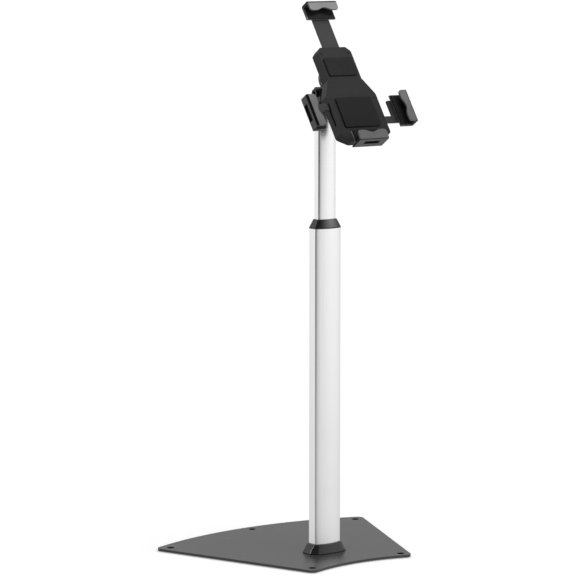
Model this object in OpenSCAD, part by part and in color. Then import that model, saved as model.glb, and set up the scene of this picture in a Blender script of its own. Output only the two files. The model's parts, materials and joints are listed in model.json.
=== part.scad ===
// Floor stand: flat base plate, two-stage telescopic column and a tilting, turning holder with four clamps.
// Millimetres. +Z is up, the holder faces -Y, and the origin lies on the floor under the column's axis.
// Holder pieces are drawn in the holder's own frame: x across, y up along the holder, z out of its face,
// with the tilt hinge at z = 0.

/* [Base plate] */
// Distance between the front corners before rounding
base_front_w = 197.4; // [160:0.2:240]
// Distance between the back corners before rounding
base_back_w = 424.4; // [380:0.2:470]
// How far the front corners lie ahead of the column's axis
base_front_reach = 105.4; // [90:0.2:130]
// How far the back corners lie behind the column's axis
base_back_reach = 177.6; // [150:0.2:210]
// How far the back edge bows outward
base_back_bow = 43; // [30:0.5:60]
// How far the front edge bows inward
base_front_bow = 18; // [10:0.5:26]
// Thickness of the plate
base_t = 4; // [4:0.5:8]
// Radius of the plate's four corners
base_corner_r = 10; // [8:0.5:22]
// Diameter of the five floor-screw holes
floor_hole_d = 6; // [4.5:0.1:7]
// Diameter of the floor-screw holes' countersinks
floor_sink_d = 12; // [9:0.5:13]
// How far the back holes lie in from the back corners, across
back_hole_in_x = 22.6; // [18:0.2:40]
// How far the back holes lie ahead of the back corners
back_hole_in_y = 11.2; // [8:0.2:30]
// How far the front holes lie in from the front corners, across
front_hole_in_x = 9.6; // [6:0.2:20]
// How far the front holes lie behind the front corners
front_hole_in_y = 18.2; // [14:0.2:30]
// How far the middle hole lies ahead of the back edge
mid_hole_in_y = 16.6; // [12:0.2:40]

/* [Floor pads] */
// Diameter of a floor pad
pad_d = 20; // [12:1:24]
// Thickness of a floor pad
pad_t = 1.5; // [1:0.1:4]

/* [Column] */
// Width of the outer column across its flat sides
outer_w = 50.6; // [50:0.2:56]
// Depth of the outer column's flat sides
outer_side = 18.8; // [18.6:0.1:26]
// How far the outer column's front and back bow out
outer_bow = 5; // [4.6:0.1:7]
// Width of the outer column's bevelled edges
outer_bevel = 3.3; // [2:0.1:4.5]
// Wall of the outer column
outer_wall = 2; // [1.6:0.1:2.2]
// Height of the outer column's top end above the floor
outer_top = 534; // [450:1:700]
// Width of the inner column across its flat sides
inner_w = 34.6; // [30:0.1:34.8]
// Depth of the inner column's flat sides
inner_side = 12.8; // [12:0.1:14.4]
// How far the inner column's front and back bow out
inner_bow = 3.5; // [2.5:0.1:3.8]
// Width of the inner column's bevelled edges
inner_bevel = 3.2; // [2:0.1:4]
// Wall of the inner column
inner_wall = 1.8; // [1.4:0.1:2.5]
// Height of the inner column's top end above the floor, as set
inner_top = 733; // [722:1:800]
// Length of the inner column
inner_len = 518; // [420:1:520]
// Diameter of the outer column's screw ports
port_d = 6; // [5.6:0.1:6]
// Diameter of the column bolts
column_bolt_d = 4; // [3.4:0.1:4.2]
// Length of the column bolts inside the ports
column_bolt_reach = 22; // [12:1:24]

/* [Collars] */
// Height of the foot collar
foot_collar_h = 15; // [10:0.5:25]
// How far the foot collar spreads past the column's sides at the plate
foot_collar_flare = 11.8; // [6:0.2:14]
// How far the foot collar spreads past the column's front and back at the plate
foot_collar_front = 8; // [4:0.2:10]
// Width of the foot collar's bevelled edges at the plate
foot_collar_bevel = 15; // [6:0.5:18]
// Height of the top collar
top_collar_h = 15; // [8:0.5:20]
// How far the top collar's upper rim stands off the inner column
top_collar_rim = 1.5; // [1.2:0.1:3]
// Length of the guide strips inside the outer column's top
guide_len = 40; // [35:1:70]
// Diameter of the height clamping screw
height_screw_d = 6; // [4:0.5:6]
// Height of the glide shoe below the inner column
shoe_h = 10; // [6:0.5:12]

/* [Tilt head] */
// Height of the tilt hinge above the inner column's top
hinge_rise = 17.6; // [17:0.1:25]
// How far the holder leans back from upright, as set
tilt = 33.9; // [0:0.1:89]
// Diameter of the hinge bolt
hinge_bolt_d = 8; // [6:0.5:9]
// Radius of the knuckle and of the fork's ears
knuckle_r = 10; // [9:0.1:10.5]
// Width of the knuckle
knuckle_w = 22; // [18:0.5:23]
// Thickness of a fork ear
ear_t = 5; // [4:0.5:6]
// Thickness of the head cap's rim on the column
cap_rim_t = 5; // [4:0.5:5.5]
// Diameter of the round flange behind the holder
flange_d = 58; // [50:1:64]
// Thickness of the flange
flange_t = 7; // [5:0.5:9]
// Diameter of the pivot bolt's shoulder
pivot_d = 12; // [9:0.5:14]

/* [Holder] */
// Distance from the tilt hinge to the back of the holder
holder_back = 36; // [35:0.5:45]
// Depth of the rear shell from its back to the front cover
shell_depth = 18.4; // [17:0.2:24]
// Wall of the rear shell
shell_wall = 3; // [2.5:0.1:3.4]
// Width of the rear shell at the side arms
shell_w = 98; // [92:0.5:102]
// Width of the rear shell's upper part
spine_w = 66; // [60:0.5:74]
// Top of the rear shell above the pivot
shell_top = 50; // [48:0.5:54]
// Bottom of the rear shell below the pivot
shell_low = 119; // [119:0.2:122]
// Thickness of the front cover
cover_t = 2.2; // [1.8:0.1:2.6]
// Width between the side clamps' seats, as set
grip_w = 178.5; // [160:0.5:196]
// Height between the top and bottom clamps' seats, as set
grip_h = 235; // [200:0.5:250]
// How far the side arms lie below the pivot
side_arm_drop = 70; // [68:0.2:72]
// Thickness of the arms
arm_t = 3; // [2.5:0.1:3.2]
// Width of the top and bottom arms
arm_w = 32; // [28:0.5:36]
// Height of the side arms
side_arm_h = 40; // [38:0.5:41]

/* [Clamps] */
// Length of a clamp
clamp_len = 56; // [50:0.5:64]
// Thickness of a clamp's lip, wall and seat plate
clamp_t = 3; // [2.5:0.1:4]
// Clear depth between seat plate and lip
clamp_gap = 13; // [10:0.5:20]
// How far the wall's outer face lies outside the seat line
clamp_out = 9.8; // [8.5:0.1:12]
// How far the lip's two bulges reach inside the seat line
lip_reach = 7.2; // [5:0.1:12]
// Depth of the notch between the bulges
lip_notch = 4.4; // [2:0.1:6]
// How far the seat plate reaches inside the seat line
seat_reach = 15; // [13:0.5:17]
// Length of the slot in the wall
slot_len = 29; // [20:0.5:36]
// Height of the slot in the wall
slot_h = 8.2; // [4:0.1:8.4]
// How far the bottom clamp's wall reaches behind its seat plate
skirt_reach = 7.6; // [4:0.1:12]
// Thickness of the rubber lining
lining_t = 2; // [1.5:0.1:3]

/* [Side arm gear] */
// Module of the rack and pinion
gear_module = 1.5; // [1.4:0.01:1.6]
// Teeth on the pinion
gear_teeth = 12; // [12]
// Diameter of the pinion's pin
gear_pin_d = 6; // [4:0.5:8]

/* [Hidden] */
$fn = 48;

// Clearances
run_gap = 0.05;      // round parts that turn in each other, on the radius
seat_gap = 0.1;      // parts that are fixed in each other
slide_gap = 0.3;     // parts that slide past each other
overcut = 1;         // how far a cut runs past the face it opens
wall_bite = 0.6;     // how far ports, posts and bosses sink into the wall beside them
floor_bite = 1;      // how far posts and bosses sink into the face below them

// Colours
steel_grey = [0.35, 0.35, 0.36];
silver = [0.85, 0.86, 0.87];
black_plastic = [0.12, 0.12, 0.13];
clamp_grey = [0.42, 0.42, 0.43];
zinc = [0.62, 0.63, 0.65];
rubber_black = [0.07, 0.07, 0.07];
brass = [0.75, 0.62, 0.3];
acetal_white = [0.8, 0.8, 0.78];

// Base plate
plate_z = pad_t;
plate_top = pad_t + base_t;
floor_sink_h = (floor_sink_d - floor_hole_d) / 2;
back_hole = [base_back_w / 2 - back_hole_in_x, base_back_reach - back_hole_in_y];
front_hole = [base_front_w / 2 - front_hole_in_x, front_hole_in_y - base_front_reach];
mid_hole = [0, base_back_reach + base_back_bow - mid_hole_in_y];
floor_holes = [back_hole, [-back_hole.x, back_hole.y], front_hole, [-front_hole.x, front_hole.y], mid_hole];
pad_step = pad_d / 2 + floor_sink_d;
pad_places = [
    [0, 0], mid_hole - [0, pad_step],
    for (side = [-1, 1]) [side * (back_hole.x - pad_step), back_hole.y - pad_d / 2],
    for (side = [-1, 1]) [side * (front_hole.x - pad_step), front_hole.y + pad_d / 2]
];

// Column
port_x = outer_w / 2 - outer_wall + wall_bite - port_d / 2;
port_y = outer_side / 2 - outer_wall + wall_bite - port_d / 2;
port_places = [for (sx = [-1, 1], sy = [-1, 1]) [sx * port_x, sy * port_y]];
outer_half_depth = outer_side / 2 + outer_bow;
inner_half_depth = inner_side / 2 + inner_bow;
inner_foot = inner_top - inner_len;
bolt_head_d = 2 * column_bolt_d;
collar_edge = 1;
foot_collar_lip = 2.6;
top_collar_over = 0.4;
guide_w = inner_w - 2 * inner_bevel;

// Height clamping screw, through the back of the outer column
height_screw_z = outer_top - guide_len / 2;
insert_wall = 1.5;
insert_rim = 2;
insert_nose = 1.2;
insert_d = height_screw_d + 2 * insert_wall;
insert_flange_d = insert_d + 2 * insert_rim;
insert_flange_t = 0.8;
insert_tail = outer_wall + insert_nose;
screw_head_ratio = 1.65;
screw_head_rise = 0.9;

// Tilt head
hinge_z = inner_top + hinge_rise;
washer_t = 1;
ear_in = knuckle_w / 2 + washer_t + 2 * seat_gap;
ear_out = ear_in + ear_t;
cap_rim_over = 1.2;
cap_rim_w = 2 * (ear_out + cap_rim_over);
cap_plug_h = 28;
hinge_head_h = 5;
hinge_nut_h = 6.5;
hinge_tip = 1;
friction_t = 1.5;
flange_front = holder_back - friction_t - slide_gap;
flange_back = flange_front - flange_t;
flange_edge = 1;
friction_in = 3;
stem_step = 0.5;
stem_r = knuckle_r - stem_step;
pivot_thread_d = pivot_d * 2 / 3;
pivot_thread_len = 14;
pivot_head_over = 4;
pivot_washer_over = 2;
pivot_head_d = pivot_d + 2 * pivot_head_over;
pivot_head_h = 4;
pivot_washer_t = 1.2;

// Holder, depths along its own z
shell_floor = holder_back + shell_wall;
post_foot = shell_floor - floor_bite;
cover_back = holder_back + shell_depth;
cover_front = cover_back + cover_t;
arm_front = cover_back - seat_gap * 4;
arm_back = arm_front - arm_t;
seat_back = arm_front;
seat_front = seat_back + clamp_t;
lip_back = seat_front + clamp_gap;
lip_front = lip_back + clamp_t;
shell_chamfer = 4;
shell_back_t = 0.2;
shell_r = 6;
neck_low = -38;
neck_high = -8;
foot_w = 60;
foot_rise = 10;
spine_foot = -60;
spine_shoulder = 8;
block_pts = [
    [-foot_w / 2, -shell_low], [foot_w / 2, -shell_low], [shell_w / 2, foot_rise - shell_low],
    [shell_w / 2, neck_low], [spine_w / 2, neck_high],
    [-spine_w / 2, neck_high], [-shell_w / 2, neck_low], [-shell_w / 2, foot_rise - shell_low]
];
spine_pts = [
    [-spine_w / 2, spine_foot], [spine_w / 2, spine_foot], [spine_w / 2, shell_top - spine_shoulder],
    [spine_w / 2 - spine_shoulder, shell_top],
    [spine_shoulder - spine_w / 2, shell_top], [-spine_w / 2, shell_top - spine_shoulder]
];

// Screws of the front cover, and the posts that they hold in
cover_screw_d = 3;
cover_head_d = 6;
cover_screw_len = 11;
post_d = 7.4;
post_in = shell_wall + post_d / 2 - wall_bite;
post_clear = 1.2;
post_rise = side_arm_h / 2 + post_d / 2 + post_clear;
cover_screw_x = shell_w / 2 - post_in;
cover_screw_top = shell_top - spine_shoulder - post_d / 2;
cover_screw_places = [
    for (side = [-1, 1]) [side * cover_screw_x, post_rise - side_arm_drop],
    for (side = [-1, 1]) [side * (foot_w / 2 + post_d / 2), -post_rise - side_arm_drop],
    for (side = [-1, 1]) [side * (spine_w / 2 - post_in), cover_screw_top]
];

// Arms
seat_line_x = grip_w / 2;
seat_line_y = grip_h / 2;
clamp_screw_d = 4;
clamp_screw_x = 10;
clamp_screw_in = 8;
arm_overlap = 5;
top_arm_foot = 10;
bottom_arm_gap = 2.4;
bottom_arm_top = -side_arm_drop - side_arm_h / 2 - bottom_arm_gap;
bottom_post_d = 9;
bottom_screw_y = bottom_arm_top - bottom_post_d / 2;
bottom_screw_len = 10;
bottom_head_d = 7.6;
arm_r = 4;
notch_w = clamp_len + 4 * slide_gap;
notch_top = seat_reach + 4 * slide_gap - seat_line_y;

// Rack and pinion
pitch_r = gear_module * gear_teeth / 2;
tooth_pitch = PI * gear_module;
backlash = 0.3;
pressure_angle = 20;
rack_add = 0.7 * gear_module;
rack_ded = 1.25 * gear_module;
pinion_add = gear_module;
pinion_ded = 0.95 * gear_module;
rack_teeth_in = 30;
rack_end = 19;
blade_lap = 8;
blade_start = seat_line_x - seat_reach - blade_lap;

// Locking screws of the arms
lock_d = 5;
lock_head_h = 4;
lock_nut_h = 4;
lock_boss_d = 13;
lock_places = [
    [0, shell_top - shell_wall + wall_bite - lock_boss_d / 2],
    [shell_w / 4, -side_arm_drop - (side_arm_h / 2 + pitch_r + rack_ded) / 2]
];

function unit(v) = v / norm(v);
function before(pts, i) = pts[(i + len(pts) - 1) % len(pts)];
function after(pts, i) = pts[(i + 1) % len(pts)];

// Height of a circular bow over its chord, at a distance x from the middle
function bow_at(x, half_chord, bow) =
    let (r = (half_chord * half_chord + bow * bow) / (2 * bow))
    sqrt(r * r - x * x) - r + bow;

// Points of one rounded corner at p, between the directions a and b to its neighbours
function corner_arc(p, a, b, r, steps) =
    let (half = acos(a * b) / 2,
         centre = p + unit(a + b) * r / sin(half),
         start = p + a * r / tan(half) - centre,
         end = p + b * r / tan(half) - centre,
         from = atan2(start.y, start.x),
         turn = sign(cross(start, end)) * (180 - 2 * half))
    [for (k = [0 : steps]) centre + r * [cos(from + turn * k / steps), sin(from + turn * k / steps)]];

// A closed outline with corner i rounded to radii[i], or kept sharp at 0
function rounded(pts, radii, steps = 6) = [
    for (i = [0 : len(pts) - 1])
        let (a = unit(before(pts, i) - pts[i]), b = unit(after(pts, i) - pts[i]))
        each radii[i] == 0 ? [pts[i]] : corner_arc(pts[i], a, b, radii[i], steps)
];

// A convex outline moved inward by d
function inset(pts, d) = [
    for (i = [0 : len(pts) - 1])
        let (a = unit(before(pts, i) - pts[i]), b = unit(after(pts, i) - pts[i]))
        pts[i] + (a + b) * d / abs(cross(a, b))
];

function same(value, pts) = [for (p = pts) value];

// Column section: flat sides, bowed front and back, edges bevelled at 45 degrees
arc_facets = 180;
module column_section(w, side, bow, edge) {
    arc_r = (w * w / 4 + bow * bow) / (2 * bow);
    arc_y = side / 2 + bow - arc_r;
    slope = w / 2 / (arc_r - bow);
    corner_cut = edge / sqrt(2) * (1 - slope);
    intersection() {
        square([w, side + 4 * bow], center = true);
        translate([0, arc_y]) circle(arc_r, $fn = arc_facets);
        translate([0, -arc_y]) circle(arc_r, $fn = arc_facets);
        rotate(45) square((w + side) / sqrt(2) - corner_cut * sqrt(2), center = true);
    }
}

// The outer and inner columns' sections, grown outward by d
edge_growth = 0.6;
module outer_section(d = 0)
    column_section(outer_w + 2 * d, outer_side + 2 * d, outer_bow, outer_bevel + edge_growth * d);
module inner_section(d = 0)
    column_section(inner_w + 2 * d, inner_side + 2 * d, inner_bow, inner_bevel + edge_growth * d);

// Sets a holder piece at the hinge and leans it back
module in_holder() translate([0, 0, hinge_z]) rotate([90 - tilt, 0, 0]) children();

// Countersunk socket screw standing on its tip, its head's top at z = 0
module sunk_screw(d, head_d, length) {
    head_h = (head_d - d) / 2;
    socket_d = d * 0.8;
    socket_h = head_h * 0.8;
    translate([0, 0, -length]) cylinder(d = d, h = length - head_h);
    difference() {
        translate([0, 0, -head_h]) cylinder(d1 = d, d2 = head_d, h = head_h);
        translate([0, 0, -socket_h]) cylinder(d = socket_d, h = socket_h + overcut, $fn = 6);
    }
}

// Hole for a countersunk screw through a sheet, the sheet's top face at z = 0
module sunk_hole(d, head_d, sheet) {
    head_h = (head_d - d) / 2;
    hole_d = d + 2 * run_gap;
    translate([0, 0, -sheet - overcut]) cylinder(d = hole_d, h = sheet + 2 * overcut);
    translate([0, 0, -head_h])
        cylinder(d1 = hole_d, d2 = head_d + 2 * (run_gap + overcut), h = head_h + overcut);
}

// Socket head screw, its head's under face at z = 0 and its shank down
module socket_screw(d, head_d, head_h, length) {
    socket_d = d * 0.9;
    socket_floor = head_h * 0.4;
    translate([0, 0, -length]) cylinder(d = d, h = length);
    difference() {
        cylinder(d = head_d, h = head_h);
        translate([0, 0, socket_floor]) cylinder(d = socket_d, h = head_h, $fn = 6);
    }
}

// Base body

base_arc_steps = 16;
base_corner_steps = 10;
base_pts = [
    for (k = [0 : base_arc_steps])
        let (x = base_front_w * (k / base_arc_steps - 0.5))
        [x, bow_at(x, base_front_w / 2, base_front_bow) - base_front_reach],
    for (k = [0 : base_arc_steps])
        let (x = base_back_w * (0.5 - k / base_arc_steps))
        [x, bow_at(x, base_back_w / 2, base_back_bow) + base_back_reach]
];
base_radii = [
    for (edge = [0, 1], k = [0 : base_arc_steps])
        k == 0 || k == base_arc_steps ? base_corner_r : 0
];

module base_plate() {
    color(steel_grey)
    difference() {
        translate([0, 0, plate_z]) linear_extrude(base_t)
            polygon(rounded(base_pts, base_radii, base_corner_steps));
        for (p = floor_holes) translate([p.x, p.y, 0]) {
            cylinder(d = floor_hole_d, h = plate_top + overcut);
            translate([0, 0, plate_top - floor_sink_h])
                cylinder(d1 = floor_hole_d, d2 = floor_sink_d + 2 * overcut, h = floor_sink_h + overcut);
        }
        for (p = port_places) translate([p.x, p.y, plate_z]) {
            translate([0, 0, -overcut]) cylinder(d = column_bolt_d + 2 * seat_gap, h = base_t + 2 * overcut);
            translate([0, 0, -overcut])
                cylinder(d1 = bolt_head_d + 2 * (overcut + seat_gap), d2 = column_bolt_d + 2 * seat_gap,
                         h = (bolt_head_d - column_bolt_d) / 2 + overcut);
        }
    }
}

module floor_pads() {
    color(rubber_black)
    for (p = pad_places) translate([p.x, p.y, 0]) cylinder(d = pad_d, h = pad_t);
}

module column_bolts() {
    color(zinc)
    for (p = port_places) translate([p.x, p.y, plate_z]) mirror([0, 0, 1])
        sunk_screw(column_bolt_d, bolt_head_d, base_t + column_bolt_reach);
}

module foot_collar() {
    color(black_plastic)
    translate([0, 0, plate_top]) difference() {
        hull() {
            linear_extrude(collar_edge)
                column_section(outer_w + 2 * foot_collar_flare, outer_side + 2 * foot_collar_front, outer_bow,
                               foot_collar_bevel);
            translate([0, 0, foot_collar_h - collar_edge])
                linear_extrude(collar_edge) outer_section(foot_collar_lip);
        }
        translate([0, 0, -overcut]) linear_extrude(foot_collar_h + 2 * overcut) outer_section(seat_gap);
    }
}

module outer_column() {
    color(silver)
    difference() {
        translate([0, 0, plate_top]) linear_extrude(outer_top - plate_top) difference() {
            union() {
                difference() {
                    outer_section();
                    outer_section(-outer_wall);
                }
                for (p = port_places) translate(p) circle(d = port_d);
            }
            for (p = port_places) translate(p) circle(d = column_bolt_d + 2 * seat_gap);
        }
        translate([0, 0, height_screw_z]) rotate([-90, 0, 0])
            cylinder(d = insert_d + 2 * seat_gap, h = outer_half_depth + overcut);
    }
}

module top_collar() {
    color(black_plastic)
    translate([0, 0, outer_top]) difference() {
        hull() {
            linear_extrude(2 * collar_edge) outer_section(top_collar_over);
            translate([0, 0, top_collar_h - collar_edge])
                linear_extrude(collar_edge) inner_section(top_collar_rim);
        }
        translate([0, 0, -overcut]) linear_extrude(top_collar_h + 2 * overcut) inner_section(slide_gap);
    }
}

module guide_strips() {
    color(black_plastic)
    difference() {
        translate([0, 0, outer_top - guide_len]) linear_extrude(guide_len) difference() {
            intersection() {
                outer_section(-outer_wall - seat_gap);
                square([guide_w, 4 * outer_half_depth], center = true);
            }
            inner_section(slide_gap);
        }
        translate([0, 0, height_screw_z]) rotate([-90, 0, 0])
            cylinder(d = insert_d + 2 * seat_gap, h = outer_half_depth);
    }
}

module at_height_screw() translate([0, outer_half_depth, height_screw_z]) rotate([-90, 0, 0]) children();

module height_insert() {
    color(zinc) at_height_screw() difference() {
        union() {
            translate([0, 0, -insert_tail]) cylinder(d = insert_d, h = insert_tail);
            cylinder(d = insert_flange_d, h = insert_flange_t);
        }
        translate([0, 0, -insert_tail - overcut])
            cylinder(d = height_screw_d + 2 * run_gap, h = insert_tail + insert_flange_t + 2 * overcut);
    }
}

module height_screw() {
    reach = outer_half_depth - inner_half_depth - slide_gap + insert_flange_t;
    color(zinc) at_height_screw() translate([0, 0, insert_flange_t])
        socket_screw(height_screw_d, height_screw_d * screw_head_ratio,
                     height_screw_d * screw_head_rise, reach);
}

// Mast body

module inner_column() {
    color(silver)
    translate([0, 0, inner_foot]) linear_extrude(inner_len) difference() {
        inner_section();
        inner_section(-inner_wall);
    }
}

module glide_shoe() {
    plug_h = 2 * shoe_h;
    color(black_plastic)
    translate([0, 0, inner_foot - shoe_h]) {
        linear_extrude(shoe_h) intersection() {
            outer_section(-outer_wall - slide_gap);
            square([inner_w, 4 * outer_half_depth], center = true);
        }
        translate([0, 0, shoe_h]) linear_extrude(plug_h) inner_section(-inner_wall - seat_gap);
    }
}

module head_cap() {
    color(black_plastic)
    difference() {
        union() {
            translate([0, 0, inner_top - cap_plug_h]) linear_extrude(cap_plug_h)
                inner_section(-inner_wall - seat_gap);
            translate([0, 0, inner_top]) linear_extrude(cap_rim_t)
                column_section(cap_rim_w, 2 * knuckle_r, inner_bow, inner_bevel);
            for (side = [-1, 1])
                translate([side * (ear_in + ear_out) / 2, 0, 0]) {
                    translate([-ear_t / 2, -knuckle_r, inner_top + cap_rim_t / 2])
                        cube([ear_t, 2 * knuckle_r, hinge_rise - cap_rim_t / 2]);
                    translate([-ear_t / 2, 0, hinge_z]) rotate([0, 90, 0]) cylinder(r = knuckle_r, h = ear_t);
                }
        }
        translate([-ear_out - overcut, 0, hinge_z]) rotate([0, 90, 0])
            cylinder(d = hinge_bolt_d + 2 * run_gap, h = 2 * (ear_out + overcut));
    }
}

module hinge_bolt() {
    color(zinc)
    translate([-ear_out, 0, hinge_z]) rotate([0, -90, 0])
        socket_screw(hinge_bolt_d, hinge_bolt_d * screw_head_ratio, hinge_head_h,
                     2 * ear_out + hinge_nut_h + hinge_tip);
}

module hinge_nut() {
    nut_across = hinge_bolt_d * screw_head_ratio;
    color(zinc)
    translate([ear_out, 0, hinge_z]) rotate([0, 90, 0]) difference() {
        cylinder(d = nut_across / cos(30), h = hinge_nut_h, $fn = 6);
        translate([0, 0, -overcut]) cylinder(d = hinge_bolt_d + 2 * run_gap, h = hinge_nut_h + 2 * overcut);
    }
}

module hinge_washers() {
    color(zinc)
    for (side = [-1, 1])
        translate([side * (ear_in - seat_gap - washer_t / 2), 0, hinge_z]) rotate([0, 90, 0]) difference() {
            cylinder(r = stem_r, h = washer_t, center = true);
            cylinder(d = hinge_bolt_d + 2 * run_gap, h = washer_t + 2 * overcut, center = true);
        }
}

// Tilt body

module tilt_knuckle() {
    flare = 4;
    color(black_plastic)
    in_holder() difference() {
        union() {
            rotate([0, 90, 0]) cylinder(r = knuckle_r, h = knuckle_w, center = true);
            rotate_extrude() polygon([
                [0, 0], [stem_r, 0], [stem_r, flange_back - flare],
                [stem_r + flare, flange_back], [flange_d / 2 - flange_edge, flange_back],
                [flange_d / 2, flange_back + flange_edge], [flange_d / 2, flange_front], [0, flange_front]
            ]);
        }
        rotate([0, 90, 0])
            cylinder(d = hinge_bolt_d + 2 * run_gap, h = knuckle_w + 2 * overcut, center = true);
        translate([0, 0, flange_front - pivot_thread_len])
            cylinder(d = pivot_thread_d + 2 * run_gap, h = pivot_thread_len + overcut);
    }
}

module friction_disc() {
    color(rubber_black)
    in_holder() translate([0, 0, flange_front]) difference() {
        cylinder(d = flange_d - 2 * friction_in, h = friction_t);
        translate([0, 0, -overcut]) cylinder(d = pivot_d + 2 * seat_gap, h = friction_t + 2 * overcut);
    }
}

module pivot_washer() {
    color(zinc)
    in_holder() translate([0, 0, shell_floor + slide_gap]) difference() {
        cylinder(d = pivot_head_d + 2 * pivot_washer_over, h = pivot_washer_t);
        translate([0, 0, -overcut]) cylinder(d = pivot_d + 2 * seat_gap, h = pivot_washer_t + 2 * overcut);
    }
}

module pivot_bolt() {
    head_z = shell_floor + slide_gap + pivot_washer_t;
    color(zinc)
    in_holder() {
        translate([0, 0, head_z])
            socket_screw(pivot_d, pivot_head_d, pivot_head_h, head_z - flange_front);
        translate([0, 0, flange_front - pivot_thread_len + overcut])
            cylinder(d = pivot_thread_d, h = pivot_thread_len);
    }
}

// Cradle body

module block_section(d = 0) polygon(rounded(inset(block_pts, d), same(shell_r, block_pts)));
module spine_section(d = 0) polygon(rounded(inset(spine_pts, d), same(shell_r / 2, spine_pts)));

// One rounded part of the shell's outside, with a chamfered back edge
module shell_block() {
    hull() {
        translate([0, 0, holder_back]) linear_extrude(shell_back_t) block_section(shell_chamfer);
        translate([0, 0, holder_back + shell_chamfer])
            linear_extrude(shell_depth - shell_chamfer) block_section();
    }
}

module shell_spine() {
    hull() {
        translate([0, 0, holder_back]) linear_extrude(shell_back_t) spine_section(shell_chamfer);
        translate([0, 0, holder_back + shell_chamfer])
            linear_extrude(shell_depth - shell_chamfer) spine_section();
    }
}

// A box whose low corner is placed, cut out where arms leave the shell
module arm_slot(w, y0, y1) {
    translate([-w / 2, y0, arm_back - slide_gap])
        cube([w, y1 - y0, cover_back - arm_back + slide_gap + overcut]);
}

// Room for the bottom clamp's seat plate, from depth z
module clamp_notch(z, depth) {
    translate([-notch_w / 2, -shell_low - overcut, z])
        cube([notch_w, shell_low + overcut + notch_top, depth]);
}

module rear_shell() {
    color(black_plastic)
    in_holder() difference() {
        union() {
            difference() {
                union() {
                    shell_block();
                    shell_spine();
                }
                translate([0, 0, shell_floor]) linear_extrude(shell_depth) {
                    block_section(shell_wall);
                    spine_section(shell_wall);
                }
            }
            for (p = cover_screw_places) translate([p.x, p.y, post_foot])
                cylinder(d = post_d, h = cover_back - post_foot);
            for (p = lock_places) translate([p.x, p.y, post_foot])
                cylinder(d = lock_boss_d, h = arm_back - slide_gap - post_foot);
            for (side = [-1, 1]) translate([side * clamp_screw_x, bottom_screw_y, post_foot])
                cylinder(d = bottom_post_d, h = arm_back - post_foot);
            translate([0, -side_arm_drop, post_foot])
                cylinder(d = 2 * gear_pin_d, h = arm_back - slide_gap - post_foot);
        }
        translate([0, 0, holder_back - overcut])
            cylinder(d = pivot_d + 2 * run_gap, h = shell_wall + 2 * overcut);
        for (p = cover_screw_places) translate([p.x, p.y, cover_back - cover_screw_len])
            cylinder(d = cover_screw_d + 2 * run_gap, h = cover_screw_len + overcut);
        for (p = lock_places) translate([p.x, p.y, holder_back - overcut])
            cylinder(d = lock_d + 2 * run_gap, h = shell_depth);
        for (p = lock_places) translate([p.x, p.y, arm_back - slide_gap - lock_nut_h - seat_gap])
            cylinder(d = 2 * lock_d + 2 * seat_gap, h = lock_nut_h + seat_gap + overcut, $fn = 6);
        for (side = [-1, 1])
            translate([side * clamp_screw_x, bottom_screw_y, arm_front - bottom_screw_len - overcut])
                cylinder(d = clamp_screw_d + 2 * run_gap, h = bottom_screw_len + overcut);
        translate([0, -side_arm_drop, shell_floor]) cylinder(d = gear_pin_d + 2 * run_gap, h = shell_depth);
        arm_slot(shell_w + 2 * overcut, -side_arm_drop - side_arm_h / 2 - slide_gap,
                 side_arm_h / 2 + slide_gap - side_arm_drop);
        arm_slot(arm_w + 2 * slide_gap, shell_top - 2 * shell_wall, shell_top + overcut);
        arm_slot(arm_w + 2 * slide_gap, -shell_low - overcut, 2 * shell_wall - shell_low);
        clamp_notch(seat_back - slide_gap, shell_depth);
    }
}

module front_cover() {
    color(black_plastic)
    in_holder() difference() {
        translate([0, 0, cover_back]) linear_extrude(cover_t) {
            block_section();
            spine_section();
        }
        clamp_notch(cover_back - overcut, cover_t + 2 * overcut);
        for (p = cover_screw_places) translate([p.x, p.y, cover_front])
            sunk_hole(cover_screw_d, cover_head_d, cover_t);
    }
}

module cover_screws() {
    color(zinc)
    in_holder() for (p = cover_screw_places) translate([p.x, p.y, cover_front])
        sunk_screw(cover_screw_d, cover_head_d, cover_screw_len);
}

// Rounded pads glued to the front cover, level with the clamps' linings
module face_pads() {
    margin = 5;
    pad_r = 4;
    low_w = 2 * cover_screw_x - cover_head_d - 2 * margin;
    low_y0 = notch_top + margin;
    low_y1 = neck_low - margin;
    high_w = spine_w - 2 * margin;
    high_y0 = neck_high + margin;
    high_y1 = cover_screw_top - cover_head_d / 2 - margin;
    color(rubber_black)
    in_holder() translate([0, 0, cover_front])
        linear_extrude(seat_front + lining_t - cover_front) {
            polygon(rounded([[-low_w / 2, low_y0], [low_w / 2, low_y0],
                             [low_w / 2, low_y1], [-low_w / 2, low_y1]], same(pad_r, [1, 2, 3, 4])));
            polygon(rounded([[-high_w / 2, high_y0], [high_w / 2, high_y0],
                             [high_w / 2, high_y1], [-high_w / 2, high_y1]], same(pad_r, [1, 2, 3, 4])));
        }
}

module gear_pin() {
    color(zinc)
    in_holder() translate([0, -side_arm_drop, shell_floor])
        cylinder(d = gear_pin_d, h = arm_front - shell_floor);
}

module lock_inserts() {
    color(brass)
    in_holder() for (p = lock_places) translate([p.x, p.y, arm_back - slide_gap - lock_nut_h]) difference() {
        cylinder(d = 2 * lock_d, h = lock_nut_h, $fn = 6);
        translate([0, 0, -overcut]) cylinder(d = lock_d + 2 * run_gap, h = lock_nut_h + 2 * overcut);
    }
}

module lock_screws() {
    color(zinc)
    in_holder() for (p = lock_places) translate([p.x, p.y, holder_back]) mirror([0, 0, 1])
        socket_screw(lock_d, lock_d * screw_head_ratio, lock_head_h, arm_back - slide_gap - holder_back);
}

// Clamps: x along the clamp, y outward from the seat line, z out of the holder's face

lip_corner_r = 5;
lip_wave_half = 16;
lip_steps = 8;
slot_drop = 2;
lining_end = 2;

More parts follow.
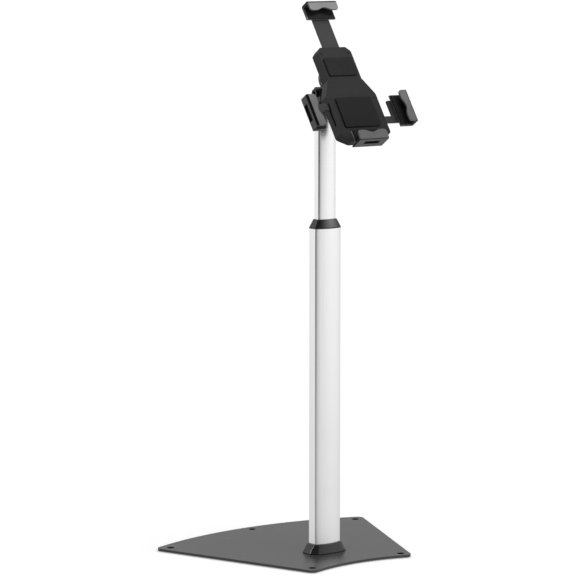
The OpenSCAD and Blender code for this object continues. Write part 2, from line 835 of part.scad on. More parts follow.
// Inner edge of the lip: two bulges with a smooth notch between them
function lip_edge(x) = -lip_reach + lip_notch * (1 + cos(180 * x / lip_wave_half)) / 2;

bevel = 2;
lip_out = clamp_out - bevel;
lip_pts = [
    [clamp_len / 2, lip_out], [-clamp_len / 2, lip_out], [-clamp_len / 2, -lip_reach],
    for (k = [-lip_steps : lip_steps]) let (x = lip_wave_half * k / lip_steps) [x, lip_edge(x)],
    [clamp_len / 2, -lip_reach]
];
lip_radii = [for (p = lip_pts) abs(p.x) == clamp_len / 2 && p.y < 0 ? lip_corner_r : 0];

// Section of the wall with its bevelled outer edges and the seat plate, drawn in y and z.
// The wall's skirt reaches behind the seat plate.
function wall_section(skirt) = [
    [-seat_reach, seat_back], [clamp_out - clamp_t, seat_back],
    if (skirt > 0) [clamp_out - clamp_t, seat_back - skirt],
    [clamp_out - bevel, seat_back - skirt], [clamp_out, seat_back - skirt + bevel],
    [clamp_out, lip_front - bevel], [clamp_out - bevel, lip_front],
    [clamp_out - bevel - clamp_t, lip_front], [clamp_out - bevel - clamp_t, lip_back],
    [clamp_out - clamp_t, lip_back - bevel], [clamp_out - clamp_t, seat_front], [-seat_reach, seat_front]
];

module along_clamp(length)
    translate([-length / 2, 0, 0]) rotate([90, 0, 90]) linear_extrude(length) children();

module clamp(skirt = 0) {
    color(clamp_grey)
    difference() {
        union() {
            along_clamp(clamp_len) polygon(wall_section(skirt));
            translate([0, 0, lip_back]) linear_extrude(clamp_t) polygon(rounded(lip_pts, lip_radii));
        }
        translate([-slot_len / 2, clamp_out - clamp_t - overcut,
                   (seat_front + lip_back - slot_h) / 2 - slot_drop])
            cube([slot_len, clamp_t + 2 * overcut, slot_h]);
        for (side = [-1, 1]) translate([side * clamp_screw_x, -clamp_screw_in, seat_back - overcut])
            cylinder(d = clamp_screw_d + 2 * run_gap, h = clamp_t + 2 * overcut);
    }
}

// Rubber lining on the seat plate and against the wall
module lining() {
    inner_y = clamp_out - clamp_t;
    rise = clamp_gap - bevel;
    color(rubber_black)
    along_clamp(clamp_len - 2 * lining_end) polygon([
        [-seat_reach, seat_front], [inner_y, seat_front], [inner_y, seat_front + rise],
        [inner_y - lining_t, seat_front + rise], [inner_y - lining_t, seat_front + lining_t],
        [-seat_reach, seat_front + lining_t]
    ]);
}

module clamp_screws() {
    pan_d = 1.9 * clamp_screw_d;
    pan_h = 0.6 * clamp_screw_d;
    color(zinc)
    for (side = [-1, 1]) translate([side * clamp_screw_x, -clamp_screw_in, arm_back]) mirror([0, 0, 1])
        socket_screw(clamp_screw_d, pan_d, pan_h, arm_t + clamp_t - seat_gap);
}

// The four clamps' places: distance of the seat line along the holder's axes, and the turn
module at_top() in_holder() translate([0, seat_line_y, 0]) children();
module at_bottom() in_holder() translate([0, -seat_line_y, 0]) rotate([0, 0, 180]) children();
module at_left() in_holder() translate([-seat_line_x, -side_arm_drop, 0]) rotate([0, 0, 90]) children();
module at_right() in_holder() translate([seat_line_x, -side_arm_drop, 0]) rotate([0, 0, -90]) children();

module arm_screw_holes() {
    for (side = [-1, 1]) translate([side * clamp_screw_x, -clamp_screw_in, arm_back - overcut])
        cylinder(d = clamp_screw_d + 2 * run_gap, h = arm_t + 2 * overcut);
}

module top_arm() {
    color(zinc)
    difference() {
        in_holder() translate([0, 0, arm_back]) linear_extrude(arm_t) polygon(rounded([
            [-arm_w / 2, top_arm_foot], [arm_w / 2, top_arm_foot],
            [arm_w / 2, seat_line_y + arm_overlap], [-arm_w / 2, seat_line_y + arm_overlap]
        ], same(arm_r, [1, 2, 3, 4])));
        at_top() arm_screw_holes();
    }
}

module bottom_arm() {
    color(zinc)
    difference() {
        in_holder() difference() {
            translate([0, 0, arm_back]) linear_extrude(arm_t) polygon(rounded([
                [-arm_w / 2, -seat_line_y - arm_overlap], [arm_w / 2, -seat_line_y - arm_overlap],
                [arm_w / 2, bottom_arm_top], [-arm_w / 2, bottom_arm_top]
            ], same(arm_r, [1, 2, 3, 4])));
            for (side = [-1, 1]) translate([side * clamp_screw_x, bottom_screw_y, arm_front])
                sunk_hole(clamp_screw_d, bottom_head_d, arm_t);
        }
        at_bottom() arm_screw_holes();
    }
}

module bottom_arm_screws() {
    color(zinc)
    in_holder() for (side = [-1, 1])
        translate([side * clamp_screw_x, bottom_screw_y, arm_front])
            sunk_screw(clamp_screw_d, bottom_head_d, bottom_screw_len);
}

// A rack tooth space at x = 0 on a bar above the pitch line, drawn from the pinion's centre
rack_r = 2;
rack_tip = pitch_r - rack_add;
rack_tip_cut = 0.01;
rack_root = pitch_r + rack_ded;
rack_count = ceil(rack_teeth_in / tooth_pitch);

module rack_space() {
    half = tooth_pitch / 4 + backlash / 2;
    tip_half = half + rack_add * tan(pressure_angle);
    root_half = half - rack_ded * tan(pressure_angle);
    tip_y = rack_tip - rack_tip_cut;
    polygon([[-tip_half, tip_y], [tip_half, tip_y], [root_half, rack_root], [-root_half, rack_root]]);
}

// Side arm reaching to -x: a full-height blade under the clamp, and a toothed bar above the pinion
module side_arm_section() {
    half_h = side_arm_h / 2;
    difference() {
        polygon(rounded([
            [-seat_line_x - arm_overlap, -half_h], [-blade_start, -half_h], [-blade_start, rack_tip],
            [rack_end, rack_tip], [rack_end, half_h], [-seat_line_x - arm_overlap, half_h]
        ], [arm_r, rack_r, rack_r, 0, rack_r, arm_r]));
        for (k = [-rack_count : floor(rack_end / tooth_pitch)]) translate([k * tooth_pitch, 0]) rack_space();
    }
}

module left_arm() {
    color(zinc)
    difference() {
        in_holder() translate([0, -side_arm_drop, arm_back]) linear_extrude(arm_t) side_arm_section();
        at_left() arm_screw_holes();
    }
}

module right_arm() {
    color(zinc)
    difference() {
        in_holder() translate([0, -side_arm_drop, arm_back]) linear_extrude(arm_t)
            rotate(180) side_arm_section();
        at_right() arm_screw_holes();
    }
}

// Involute pinion with a tooth pointing along +y
base_r = pitch_r * cos(pressure_angle);
pinion_tip_r = pitch_r + pinion_add;
pinion_root_r = pitch_r - pinion_ded;
flank_steps = 5;
function involute_deg(r) =
    r <= base_r ? 0 : let (t = sqrt(r * r / (base_r * base_r) - 1)) t * 180 / PI - atan(t);
tooth_half_deg = 90 / gear_teeth + involute_deg(pitch_r) - backlash / 2 / pitch_r * 180 / PI;
flank = [
    [pinion_root_r, tooth_half_deg],
    for (k = [0 : flank_steps])
        let (r = base_r + (pinion_tip_r - base_r) * k / flank_steps)
        [r, tooth_half_deg - involute_deg(r)]
];
function at_angle(r, deg) = r * [sin(deg), cos(deg)];
pinion_pts = [
    for (k = [0 : gear_teeth - 1])
        let (mid = 360 * k / gear_teeth)
        each concat([for (p = flank) at_angle(p[0], mid - p[1])],
                    [for (i = [len(flank) - 1 : -1 : 0]) at_angle(flank[i][0], mid + flank[i][1])])
];

module pinion() {
    color(acetal_white)
    in_holder() translate([0, -side_arm_drop, arm_back]) difference() {
        linear_extrude(arm_t) polygon(pinion_pts);
        translate([0, 0, -overcut]) cylinder(d = gear_pin_d + 2 * run_gap, h = arm_t + 2 * overcut);
    }
}

base_plate();
floor_pads();
column_bolts();
foot_collar();
outer_column();
top_collar();
guide_strips();
height_insert();
height_screw();
inner_column();
glide_shoe();
head_cap();
hinge_bolt();
hinge_nut();
hinge_washers();
tilt_knuckle();
friction_disc();
pivot_washer();
pivot_bolt();
rear_shell();
front_cover();
cover_screws();
face_pads();
gear_pin();
lock_inserts();
lock_screws();
bottom_arm();
bottom_arm_screws();
at_bottom() clamp(skirt_reach);  // bottom_clamp
at_bottom() lining();  // bottom_lining
at_bottom() clamp_screws();  // bottom_clamp_screws
top_arm();
at_top() clamp();  // top_clamp
at_top() lining();  // top_lining
at_top() clamp_screws();  // top_clamp_screws
left_arm();
at_left() clamp();  // left_clamp
at_left() lining();  // left_lining
at_left() clamp_screws();  // left_clamp_screws
right_arm();
at_right() clamp();  // right_clamp
at_right() lining();  // right_lining
at_right() clamp_screws();  // right_clamp_screws
pinion();
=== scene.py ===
"""Looks of the floor stand: materials, softened edges, studio and camera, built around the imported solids."""

import json
import math

import bpy
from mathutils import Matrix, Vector

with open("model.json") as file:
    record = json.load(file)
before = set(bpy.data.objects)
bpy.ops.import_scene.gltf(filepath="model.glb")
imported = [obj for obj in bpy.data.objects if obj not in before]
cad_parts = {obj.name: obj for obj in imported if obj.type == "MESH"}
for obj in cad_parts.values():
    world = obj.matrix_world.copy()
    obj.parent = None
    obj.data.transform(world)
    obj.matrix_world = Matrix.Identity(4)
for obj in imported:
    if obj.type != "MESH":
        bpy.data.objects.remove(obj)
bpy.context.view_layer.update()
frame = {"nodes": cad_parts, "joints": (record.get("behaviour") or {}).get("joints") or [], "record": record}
nodes = frame["nodes"]
scene = bpy.context.scene

# Camera at the photograph's viewing angle, worked out from the column, the plate's holes and the clamps.
# Its angles are in degrees and its distances in metres.
IMAGE_PX = 576
FOCAL_PX = 2820.3
SENSOR_MM = 36.0
TARGET = Vector((-0.0732, 0.0, 0.4425))
AZIMUTH = -35.912
ELEVATION = 7.406
DISTANCE = 4.4923
CLIP_END = 200.0


def heading(azimuth, elevation):
    """Unit vector of a direction in degrees, azimuth 0 towards -Y and 90 towards +X."""
    a, e = math.radians(azimuth), math.radians(elevation)
    return Vector((math.sin(a) * math.cos(e), -math.cos(a) * math.cos(e), math.sin(e)))


def place(name, data, back):
    """Adds a camera or lamp to the scene, with its back turned towards a direction."""
    thing = bpy.data.objects.new(name, data)
    scene.collection.objects.link(thing)
    thing.rotation_euler = back.to_track_quat("Z", "Y").to_euler()
    return thing


def make_camera():
    data = bpy.data.cameras.new("photo_camera")
    data.sensor_width = SENSOR_MM
    data.lens = FOCAL_PX / IMAGE_PX * SENSOR_MM
    data.clip_end = CLIP_END
    back = heading(AZIMUTH, ELEVATION)
    camera = place("photo_camera", data, back)
    camera.location = TARGET + back * DISTANCE
    scene.camera = camera


make_camera()

# Node helpers
NOISE_ROUGHNESS = 0.55
# The range that most of a noise's values keep to
NOISE_LOW, NOISE_HIGH = 0.3, 0.7


class Graph:
    """One material's or world's node tree, with short calls for the nodes used here."""

    def __init__(self, tree):
        self.tree = tree

    def add(self, kind, **settings):
        node = self.tree.nodes.new(kind)
        for key, value in settings.items():
            setattr(node, key, value)
        return node

    def link(self, source, target):
        self.tree.links.new(source, target)

    def coords(self, stretch=(1.0, 1.0, 1.0)):
        """Place on the object in metres, scaled along each axis."""
        at = self.add("ShaderNodeTexCoord")
        scale = self.add("ShaderNodeVectorMath", operation="MULTIPLY")
        self.link(at.outputs["Object"], scale.inputs[0])
        scale.inputs[1].default_value = stretch
        return scale.outputs["Vector"]

    def noise(self, vector, scale, detail):
        node = self.add("ShaderNodeTexNoise")
        self.link(vector, node.inputs["Vector"])
        node.inputs["Scale"].default_value = scale
        node.inputs["Detail"].default_value = detail
        node.inputs["Roughness"].default_value = NOISE_ROUGHNESS
        return node.outputs["Fac"]

    def spread(self, value, low, high, from_low=NOISE_LOW, from_high=NOISE_HIGH):
        """Maps a value from one range to another."""
        node = self.add("ShaderNodeMapRange")
        self.link(value, node.inputs["Value"])
        node.inputs["From Min"].default_value = from_low
        node.inputs["From Max"].default_value = from_high
        node.inputs["To Min"].default_value = low
        node.inputs["To Max"].default_value = high
        return node.outputs["Result"]

    def calc(self, operation, a, b):
        node = self.add("ShaderNodeMath", operation=operation)
        for socket, value in zip(node.inputs, (a, b)):
            if isinstance(value, (int, float)):
                socket.default_value = value
            else:
                self.link(value, socket)
        return node.outputs["Value"]

    def weigh(self, a, b, share):
        """Sum of two values, the first with a share of the weight and the second with the rest."""
        return self.calc("ADD", self.calc("MULTIPLY", a, share), self.calc("MULTIPLY", b, 1.0 - share))

    def mix(self, factor, a, b):
        node = self.add("ShaderNodeMix", data_type="RGBA")
        self.link(factor, node.inputs["Factor"])
        for name, value in (("A", a), ("B", b)):
            socket = [s for s in node.inputs if s.name == name and s.type == "RGBA"][0]
            if isinstance(value, tuple):
                socket.default_value = (*value, 1.0)
            else:
                self.link(value, socket)
        return [s for s in node.outputs if s.type == "RGBA"][0]

    def along(self, direction):
        """How far the surface lies along a direction."""
        dot = self.add("ShaderNodeVectorMath", operation="DOT_PRODUCT")
        self.link(self.coords(), dot.inputs[0])
        dot.inputs[1].default_value = direction
        return dot.outputs["Value"]

    def between(self, direction, low, high):
        """1 where the surface lies between two planes across the direction, 0 outside."""
        value = self.along(direction)
        past = self.calc("GREATER_THAN", value, low)
        return self.calc("MULTIPLY", past, self.calc("LESS_THAN", value, high))

    def near(self, places, radius, soft):
        """1 within a radius of any of the upright axes through the places, 0 outside."""
        flat = self.coords((1.0, 1.0, 0.0))
        least = None
        for x, y in places:
            gap = self.add("ShaderNodeVectorMath", operation="DISTANCE")
            self.link(flat, gap.inputs[0])
            gap.inputs[1].default_value = (x, y, 0.0)
            value = gap.outputs["Value"]
            least = value if least is None else self.calc("MINIMUM", least, value)
        return self.spread(least, 1.0, 0.0, radius, radius + soft)

    def bearing(self):
        """Direction of the surface from the column's axis, as a heading in degrees, and its height."""
        parts = self.add("ShaderNodeSeparateXYZ")
        self.link(self.coords((1.0, -1.0, 1.0)), parts.inputs[0])
        angle = self.calc("ARCTAN2", parts.outputs["X"], parts.outputs["Y"])
        return self.calc("MULTIPLY", angle, math.degrees(1.0)), parts.outputs["Z"]

    def ramp(self, value, stops):
        """A tone that follows a value, straight between stops of (value, tone)."""
        first, last = stops[0][0], stops[-1][0]
        node = self.add("ShaderNodeValToRGB")
        self.link(self.spread(value, 0.0, 1.0, first, last), node.inputs["Fac"])
        marks = node.color_ramp.elements
        while len(marks) < len(stops):
            marks.new(1.0)
        for mark, (at, tone) in zip(marks, stops):
            mark.position = (at - first) / (last - first)
            mark.color = (tone, tone, tone, 1.0)
        return node.outputs["Color"]

    def bump(self, height, strength, distance):
        node = self.add("ShaderNodeBump")
        node.inputs["Strength"].default_value = strength
        node.inputs["Distance"].default_value = distance
        self.link(height, node.inputs["Height"])
        return node.outputs["Normal"]

    def together(self, a, b):
        """Sum of two shaders."""
        node = self.add("ShaderNodeAddShader")
        self.link(a, node.inputs[0])
        self.link(b, node.inputs[1])
        return node.outputs[0]

    def show(self, shader, output="ShaderNodeOutputMaterial"):
        self.link(shader, self.add(output).inputs["Surface"])


# Materials
IOR = 1.5
# Coats: a slow mottle and a fine grain, and the range of their sum from the dark colour to the light one
MOTTLE_SCALE, MOTTLE_DETAIL, MOTTLE_SHARE = 60.0, 4.0, 0.45
FINE_DETAIL = 2.0
TONE_LOW, TONE_HIGH = 0.35, 0.65
PEEL_STRENGTH = 0.35
# Metals: fine lines in tone and relief, and slow clouds in tone
LINE_DETAIL, LINE_SHARE = 3.0, 0.6
LINE_STRENGTH, LINE_DEPTH = 0.2, 0.00001
CLOUD_SCALE, CLOUD_DETAIL = 14.0, 3.0


def grey(value):
    """A neutral colour, from a display value of 0 to 255."""
    share = value / 255.0
    linear = share / 12.92 if share <= 0.04045 else ((share + 0.055) / 1.055) ** 2.4
    return (linear, linear, linear)


def tint(value, red=1.0, green=1.0, blue=1.0):
    """A colour near a neutral one, from a display value and a factor for each channel."""
    linear = grey(value)[0]
    return (linear * red, linear * green, linear * blue)


def surface(name, metallic=0.0, specular=0.5):
    material = bpy.data.materials.new(name)
    material.use_nodes = True
    shader = material.node_tree.nodes["Principled BSDF"]
    shader.inputs["Metallic"].default_value = metallic
    shader.inputs["Specular IOR Level"].default_value = specular
    shader.inputs["IOR"].default_value = IOR
    return Graph(material.node_tree), shader


def grained(name, dark, light, rough, grain, peel, depth, specular=0.5):
    """A coated or moulded surface: mottled colour, fine grain, and orange peel or tool texture in relief."""
    graph, shader = surface(name, specular=specular)
    at = graph.coords()
    mottle = graph.noise(at, MOTTLE_SCALE, MOTTLE_DETAIL)
    tone = graph.weigh(mottle, graph.noise(at, grain, FINE_DETAIL), MOTTLE_SHARE)
    colour = graph.mix(graph.spread(tone, 0.0, 1.0, TONE_LOW, TONE_HIGH), dark, light)
    relief = graph.bump(graph.noise(at, peel, FINE_DETAIL), PEEL_STRENGTH, depth)
    graph.link(colour, shader.inputs["Base Color"])
    graph.link(graph.spread(tone, *rough), shader.inputs["Roughness"])
    graph.link(relief, shader.inputs["Normal"])
    return graph, shader


def drawn_metal(name, dark, light, rough, lines=900.0, stretch=(1.0, 1.0, 1.0)):
    """Metal with fine lines or grain, as drawn, rolled or plated stock has."""
    graph, shader = surface(name, metallic=1.0)
    fine = graph.noise(graph.coords(stretch), lines, LINE_DETAIL)
    cloud = graph.noise(graph.coords(), CLOUD_SCALE, CLOUD_DETAIL)
    tone = graph.weigh(fine, cloud, LINE_SHARE)
    graph.link(graph.mix(graph.spread(tone, 0.0, 1.0), dark, light), shader.inputs["Base Color"])
    graph.link(graph.spread(tone, *rough), shader.inputs["Roughness"])
    graph.link(graph.bump(fine, LINE_STRENGTH, LINE_DEPTH), shader.inputs["Normal"])


def paint(graph, shader, mask, colour):
    """Lays a second colour over the base colour where the mask is 1."""
    base = shader.inputs["Base Color"].links[0].from_socket
    graph.link(graph.mix(mask, base, colour), shader.inputs["Base Color"])


# Painted shade: the countersinks and bores of the plate's floor-screw holes are painted near-black, and the
# countersinks are made matt
SINK_R, SINK_SOFT, SINK_SHADE = 0.0058, 0.0006, grey(12)
BORE_R, BORE_SOFT, BORE_SHADE = 0.0034, 0.0003, grey(4)
MM = 0.001


def floor_holes():
    """Places of the floor-screw holes, as the record's mounts state them: in pairs or alone."""
    places = []
    for mount in frame["record"]["mounts"]:
        if mount["name"].startswith("floor_screw"):
            x, y, _ = mount["pos_m"]
            half = mount["dims"].get("spacing_x_mm", 0.0) * MM / 2
            places += [(x + half, y), (x - half, y)] if half else [(x, y)]
    return places


def make_plate_coat():
    graph, shader = grained("plate_powder_coat", grey(56), grey(64), rough=(0.26, 0.32), grain=900.0,
                            peel=1300.0, depth=0.00001, specular=0.3)
    holes = floor_holes()
    # Painted shade in the countersinks and bores; the countersinks are also made matt
    sink_shade_mask = graph.near(holes, SINK_R, SINK_SOFT)
    paint(graph, shader, sink_shade_mask, SINK_SHADE)
    paint(graph, shader, graph.near(holes, BORE_R, BORE_SOFT), BORE_SHADE)
    coat_rough = shader.inputs["Roughness"].links[0].from_socket
    graph.link(graph.calc("MAXIMUM", coat_rough, sink_shade_mask), shader.inputs["Roughness"])


# Each clamp's coat has a painted shade stripe along the bevel between its lip and its wall, dark but near the
# coat's own grey on the bottom clamp, and near-black painted shade on the cut edges of the wall: its ends and
# the inside of its slot
AXES = {joint["name"]: Vector(joint["axis"]) for joint in frame["joints"]}
HOLDER_UP = AXES["top_arm_slide"]
HOLDER_OUT = AXES["holder_turn"]
# Which way each clamp's wall faces, and the colour of its painted shade stripe
CLAMPS = {
    "top_clamp": (HOLDER_UP, grey(12)),
    "bottom_clamp": (-HOLDER_UP, grey(98)),
    "left_clamp": (AXES["left_arm_slide"], grey(12)),
    "right_clamp": (AXES["right_arm_slide"], grey(12)),
}
# How deep the painted shade stripe reaches in from the bevel, and how thick the wall is, in metres
EDGE_LINE = 0.0012
WALL = 0.003
# How far the painted shade on the cut edges stays from the wall's faces, and from the front of the lip
SKIN = 0.0003
LIP = 0.001
# Near-black painted shade on the wall's cut edges: its ends and the inside of its slot
CUT_EDGE_SHADE = grey(10)


def reach(node, direction):
    """How far a solid goes along a direction."""
    return max(vertex.co @ direction for vertex in nodes[node].data.vertices)


def make_clamp_coat(clamp, side, bevel_shade_colour):
    graph, shader = grained(f"{clamp}_coat", grey(89), grey(103), rough=(0.46, 0.58), grain=1100.0,
                            peel=1500.0, depth=0.00007, specular=0.12)
    across = (side + HOLDER_OUT).normalized()
    edge = reach(clamp, across)
    wall = reach(clamp, side)
    front = reach(clamp, HOLDER_OUT)
    # Painted shade: a stripe along the lip-wall bevel, dark on all clamps but the bottom one
    bevel_shade_mask = graph.spread(graph.along(across), 0.0, 1.0, edge - EDGE_LINE, edge - EDGE_LINE / 2)
    paint(graph, shader, bevel_shade_mask, bevel_shade_colour)
    # Painted shade: near-black on the wall's cut faces, its ends and the inside of its slot
    cut = graph.between(side, wall - WALL + SKIN, wall - SKIN)
    behind = graph.calc("LESS_THAN", graph.along(HOLDER_OUT), front - LIP)
    paint(graph, shader, graph.calc("MULTIPLY", cut, behind), CUT_EDGE_SHADE)


make_plate_coat()
grained("black_coat", grey(28), grey(36), rough=(0.36, 0.46), grain=900.0, peel=1400.0, depth=0.00005)
grained("black_moulded_plastic", grey(30), grey(38), rough=(0.2, 0.28), grain=1600.0, peel=2400.0,
        depth=0.00003)
grained("textured_shell_plastic", grey(24), grey(32), rough=(0.46, 0.58), grain=1300.0, peel=1700.0,
        depth=0.00008, specular=0.3)
grained("rubber", grey(20), grey(28), rough=(0.72, 0.86), grain=700.0, peel=900.0,
        depth=0.00009, specular=0.3)
grained("acetal", grey(212), grey(224), rough=(0.3, 0.4), grain=500.0, peel=800.0, depth=0.00002)
drawn_metal("anodised_aluminium", grey(242), grey(250), rough=(0.2, 0.26), lines=1500.0,
            stretch=(1.0, 1.0, 0.004))
drawn_metal("zinc_plated_steel", tint(176, blue=1.03), tint(204, red=1.02, blue=0.95), rough=(0.24, 0.4))
drawn_metal("black_oxide_steel", grey(58), grey(74), rough=(0.3, 0.44))
drawn_metal("brass", tint(205, green=0.76, blue=0.36), tint(222, green=0.8, blue=0.42), rough=(0.24, 0.36))
for clamp, (side, bevel_shade_colour) in CLAMPS.items():
    make_clamp_coat(clamp, side, bevel_shade_colour)

FINISHES = {
    "plate_powder_coat": ["base_plate"],
    "anodised_aluminium": ["outer_column", "inner_column"],
    "black_moulded_plastic": ["foot_collar", "top_collar", "guide_strips", "glide_shoe", "head_cap",
                              "tilt_knuckle"],
    "textured_shell_plastic": ["rear_shell", "front_cover"],
    "black_coat": ["top_arm", "bottom_arm", "left_arm", "right_arm"],
    "rubber": ["floor_pads", "friction_disc", "face_pads",
               "top_lining", "bottom_lining", "left_lining", "right_lining"],
    "zinc_plated_steel": ["column_bolts", "height_insert", "hinge_washers", "pivot_washer", "pivot_bolt",
                          "gear_pin"],
    "black_oxide_steel": ["height_screw", "hinge_bolt", "hinge_nut", "cover_screws", "lock_screws",
                          "bottom_arm_screws", "bottom_clamp_screws", "top_clamp_screws", "left_clamp_screws",
                          "right_clamp_screws"],
    "brass": ["lock_inserts"],
    "acetal": ["pinion"],
}
FINISHES.update({f"{clamp}_coat": [clamp] for clamp in CLAMPS})

# Width of the softened edges, in metres
EDGES = {
    "base_plate": 0.0007,
    "foot_collar": 0.002,
    "top_collar": 0.0006,
    "outer_column": 0.0003,
    "inner_column": 0.0003,
    "rear_shell": 0.0007,
    "front_cover": 0.0006,
    "face_pads": 0.0006,
    "head_cap": 0.0006,
    "tilt_knuckle": 0.0006,
}
EDGES.update({clamp: 0.0006 for clamp in CLAMPS})
SMALL_EDGE = 0.0002
EDGE_SEGMENTS = 2
# Edges that turn more than this are softened, and faces that turn less than FLAT_WITHIN count as one
SOFTEN_FROM = math.radians(34.0)
FLAT_WITHIN = math.radians(1.0)
WELD_GAP = 0.000002
NORMAL_WEIGHT = 60


def dress(node, material):
    """Gives a solid its finish and softens its edges."""
    piece = nodes[node]
    piece.data.materials.clear()
    piece.data.materials.append(material)
    weld = piece.modifiers.new("weld", "WELD")
    weld.merge_threshold = WELD_GAP
    flat = piece.modifiers.new("flat", "DECIMATE")
    flat.decimate_type = "DISSOLVE"
    flat.angle_limit = FLAT_WITHIN
    bevel = piece.modifiers.new("edges", "BEVEL")
    bevel.width = EDGES.get(node, SMALL_EDGE)
    bevel.segments = EDGE_SEGMENTS
    bevel.limit_method = "ANGLE"
    bevel.angle_limit = SOFTEN_FROM
    bevel.use_clamp_overlap = True
    normals = piece.modifiers.new("normals", "WEIGHTED_NORMAL")
    normals.weight = NORMAL_WEIGHT


for finish, members in FINISHES.items():
    for member in members:
        dress(member, bpy.data.materials[finish])

# Studio: a pale floor, an even white surround and soft lamps. Reflections show a graded light tent instead,
# darkest beside the camera, and the black mouldings also reflect two panels in it.
FLOOR_SIZE = 120.0
FLOOR_TONE = 0.88
FLOOR_GLOW = 0.32
SURROUND = 0.28
# Radius and height of the tent, from the column's foot outwards and up
TENT_PROFILE = [(0.055, 0.007), (0.28, 0.007), (0.3, 0.003), (0.95, 0.003), (1.1, 0.06), (1.2, 0.5),
                (1.2, 2.6)]
TENT_STEPS = 96
# Tones by direction, in degrees: up to the height of the column's reflections, and above it
TENT_LOW = [(-180.0, 0.72), (-150.0, 0.95), (-110.0, 0.98), (-82.0, 0.33), (-72.0, 0.05), (-40.0, 0.05),
            (-26.0, 0.46), (-12.0, 0.71), (-2.0, 0.82), (8.0, 0.91), (26.0, 1.05), (45.0, 1.11), (55.0, 1.09),
            (74.0, 0.98), (90.0, 0.89), (115.0, 0.67), (150.0, 0.65), (180.0, 0.7)]
TENT_HIGH = [(-180.0, 0.77), (-150.0, 0.94), (-125.0, 0.88), (-100.0, 0.3), (-80.0, 0.05), (-20.0, 0.04),
             (10.0, 0.06), (30.0, 0.5), (48.0, 1.1), (60.0, 0.95), (75.0, 0.35), (95.0, 0.3), (120.0, 0.6),
             (180.0, 0.7)]
HIGH_FROM, HIGH_TO = 0.62, 0.72
# Share of the tone by the way out from the column's foot and up the wall, in metres
TENT_FADE = [(0.06, 0.7), (0.3, 0.81), (0.95, 0.84), (1.35, 0.895), (1.6, 0.925), (1.75, 0.95)]
# Near the floor the tones also draw together
EVEN_TONE, EVEN_SHARE = 0.85, 0.4
EVEN_FROM, EVEN_TO = 0.95, 1.75
PANEL_R = 1.15
PANEL_STEPS = 12
HOLDER_TOP = Vector((0.0, 0.02, 0.88))
HOLDER_LAMP_AT = Vector((0.1, -0.9, 1.8))
HOLDER_LAMP_CONE = math.radians(21.5)
HOLDER_LAMP_BLEND = 1.0
HOLDER_LAMP_SIZE = 0.1
HOLDER_LAMP_POWER = 100.0


def seen_directly(graph):
    """1 for rays of the camera, of reflections and of clear materials, 0 for light on matt surfaces."""
    path = graph.add("ShaderNodeLightPath")
    seen = graph.calc("MAXIMUM", path.outputs["Is Camera Ray"], path.outputs["Is Glossy Ray"])
    return graph.calc("MAXIMUM", seen, path.outputs["Is Transmission Ray"])


def studio_piece(name, points, faces, sampling="NONE"):
    """A mesh of the studio with an empty material, and that material's node graph."""
    mesh = bpy.data.meshes.new(name)
    mesh.from_pydata(points, [], faces)
    piece = bpy.data.objects.new(name, mesh)
    scene.collection.objects.link(piece)
    material = bpy.data.materials.new(name)
    material.use_nodes = True
    material.node_tree.nodes.clear()
    # NONE keeps a glow from being sampled as a lamp, which would speckle the columns
    material.cycles.emission_sampling = sampling
    mesh.materials.append(material)
    return piece, Graph(material.node_tree)


def show_in_reflections_only(piece):
    for kind in ("camera", "diffuse", "transmission", "volume_scatter", "shadow"):
        setattr(piece, f"visible_{kind}", False)


def bent_wall(profile, first, last, steps):
    """Points and faces of a profile of (radius, height) turned about the column's axis, facing inwards."""
    points, faces = [], []
    rows = len(profile)
    for k in range(steps + 1):
        angle = math.radians(first + (last - first) * k / steps)
        points += [(math.sin(angle) * r, -math.cos(angle) * r, z) for r, z in profile]
        if k:
            low = (k - 1) * rows
            faces += [(low + j, low + j + 1, low + rows + j + 1, low + rows + j) for j in range(rows - 1)]
    return points, faces


def make_floor():
    half = FLOOR_SIZE / 2
    corners = [(-half, -half, 0.0), (half, -half, 0.0), (half, half, 0.0), (-half, half, 0.0)]
    _, graph = studio_piece("floor", corners, [(0, 1, 2, 3)])
    matt = graph.add("ShaderNodeBsdfDiffuse")
    matt.inputs["Color"].default_value = (FLOOR_TONE, FLOOR_TONE, FLOOR_TONE, 1.0)
    glow = graph.add("ShaderNodeEmission")
    graph.link(graph.calc("MULTIPLY", seen_directly(graph), FLOOR_GLOW), glow.inputs["Strength"])
    graph.show(graph.together(matt.outputs[0], glow.outputs[0]))


def make_tent():
    """A round wall on the floor that only reflections show, its tone graded by direction and height."""
    tent, graph = studio_piece("light_tent", *bent_wall(TENT_PROFILE, -180.0, 180.0, TENT_STEPS))
    show_in_reflections_only(tent)
    degrees, height = graph.bearing()
    length = graph.add("ShaderNodeVectorMath", operation="LENGTH")
    graph.link(graph.coords((1.0, 1.0, 0.0)), length.inputs[0])
    way = graph.calc("ADD", length.outputs["Value"], height)
    evened = graph.spread(way, EVEN_SHARE, 0.0, EVEN_FROM, EVEN_TO)
    around = graph.mix(evened, graph.ramp(degrees, TENT_LOW), (EVEN_TONE, EVEN_TONE, EVEN_TONE))
    low = graph.calc("MULTIPLY", around, graph.ramp(way, TENT_FADE))
    high = graph.spread(height, 0.0, 1.0, HIGH_FROM, HIGH_TO)
    glow = graph.add("ShaderNodeEmission")
    graph.link(graph.mix(high, low, graph.ramp(degrees, TENT_HIGH)), glow.inputs["Color"])
    clear = graph.add("ShaderNodeBsdfTransparent")
    inside_only = graph.add("ShaderNodeMixShader")
    graph.link(graph.add("ShaderNodeNewGeometry").outputs["Backfacing"], inside_only.inputs[0])
    graph.link(glow.outputs[0], inside_only.inputs[1])
    graph.link(clear.outputs[0], inside_only.inputs[2])
    graph.show(inside_only.outputs[0])


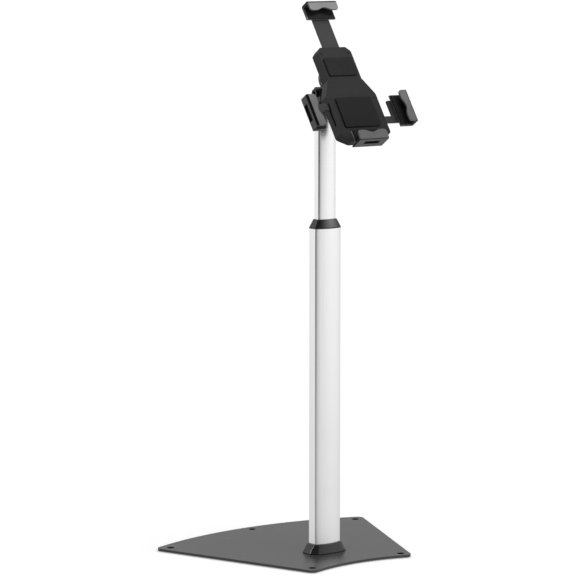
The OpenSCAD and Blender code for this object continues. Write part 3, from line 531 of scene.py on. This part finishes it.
def make_panel(name, azimuth, spread, low, high, strength):
    """A clear panel just inside the tent, brightest in its middle, that only the black mouldings reflect."""
    first, last = azimuth - spread / 2, azimuth + spread / 2
    wall = bent_wall([(PANEL_R, low), (PANEL_R, high)], first, last, PANEL_STEPS)
    panel, graph = studio_piece(name, *wall, sampling="AUTO")
    show_in_reflections_only(panel)
    degrees, _ = graph.bearing()
    glow = graph.add("ShaderNodeEmission")
    graph.link(graph.ramp(degrees, [(first, 0.0), (azimuth, 1.0), (last, 0.0)]), glow.inputs["Color"])
    glow.inputs["Strength"].default_value = strength
    clear = graph.add("ShaderNodeBsdfTransparent")
    graph.show(graph.together(glow.outputs[0], clear.outputs[0]))
    lit = bpy.data.collections.new(f"{name}_lights")
    for moulding in FINISHES["black_moulded_plastic"]:
        lit.objects.link(nodes[moulding])
    panel.light_linking.receiver_collection = lit


def make_world():
    world = bpy.data.worlds.new("studio")
    scene.world = world
    world.use_nodes = True
    graph = Graph(world.node_tree)
    graph.tree.nodes.clear()
    ground = graph.add("ShaderNodeBackground")
    ground.inputs["Color"].default_value = (1.0, 1.0, 1.0, 1.0)
    graph.link(graph.spread(seen_directly(graph), SURROUND, 1.0, 0.0, 1.0), ground.inputs["Strength"])
    graph.show(ground.outputs[0], "ShaderNodeOutputWorld")


def make_sun(name, azimuth, elevation, strength, softness):
    """A broad soft lamp far away, hidden from reflections."""
    data = bpy.data.lights.new(name, "SUN")
    data.energy = strength * math.pi
    data.angle = math.radians(softness)
    lamp = place(name, data, heading(azimuth, elevation))
    lamp.visible_glossy = False


def make_holder_lamp():
    """A soft spot lamp in front of the holder, which lights its top more than its foot."""
    data = bpy.data.lights.new("holder_lamp", "SPOT")
    data.spot_size = HOLDER_LAMP_CONE
    data.spot_blend = HOLDER_LAMP_BLEND
    data.shadow_soft_size = HOLDER_LAMP_SIZE
    data.energy = HOLDER_LAMP_POWER
    lamp = place("holder_lamp", data, HOLDER_LAMP_AT - HOLDER_TOP)
    lamp.location = HOLDER_LAMP_AT
    lamp.visible_glossy = False
    lamp.visible_camera = False


make_floor()
make_tent()
make_panel("front_panel", azimuth=43.0, spread=64.0, low=0.8, high=1.2, strength=4.2)
make_panel("side_panel", azimuth=-107.0, spread=24.0, low=0.72, high=1.05, strength=30.0)
make_world()
make_sun("front_lamp", azimuth=25.0, elevation=18.0, strength=0.28, softness=60.0)
make_sun("top_lamp", azimuth=0.0, elevation=75.0, strength=0.45, softness=60.0)
make_holder_lamp()
scene.view_settings.view_transform = "Standard"
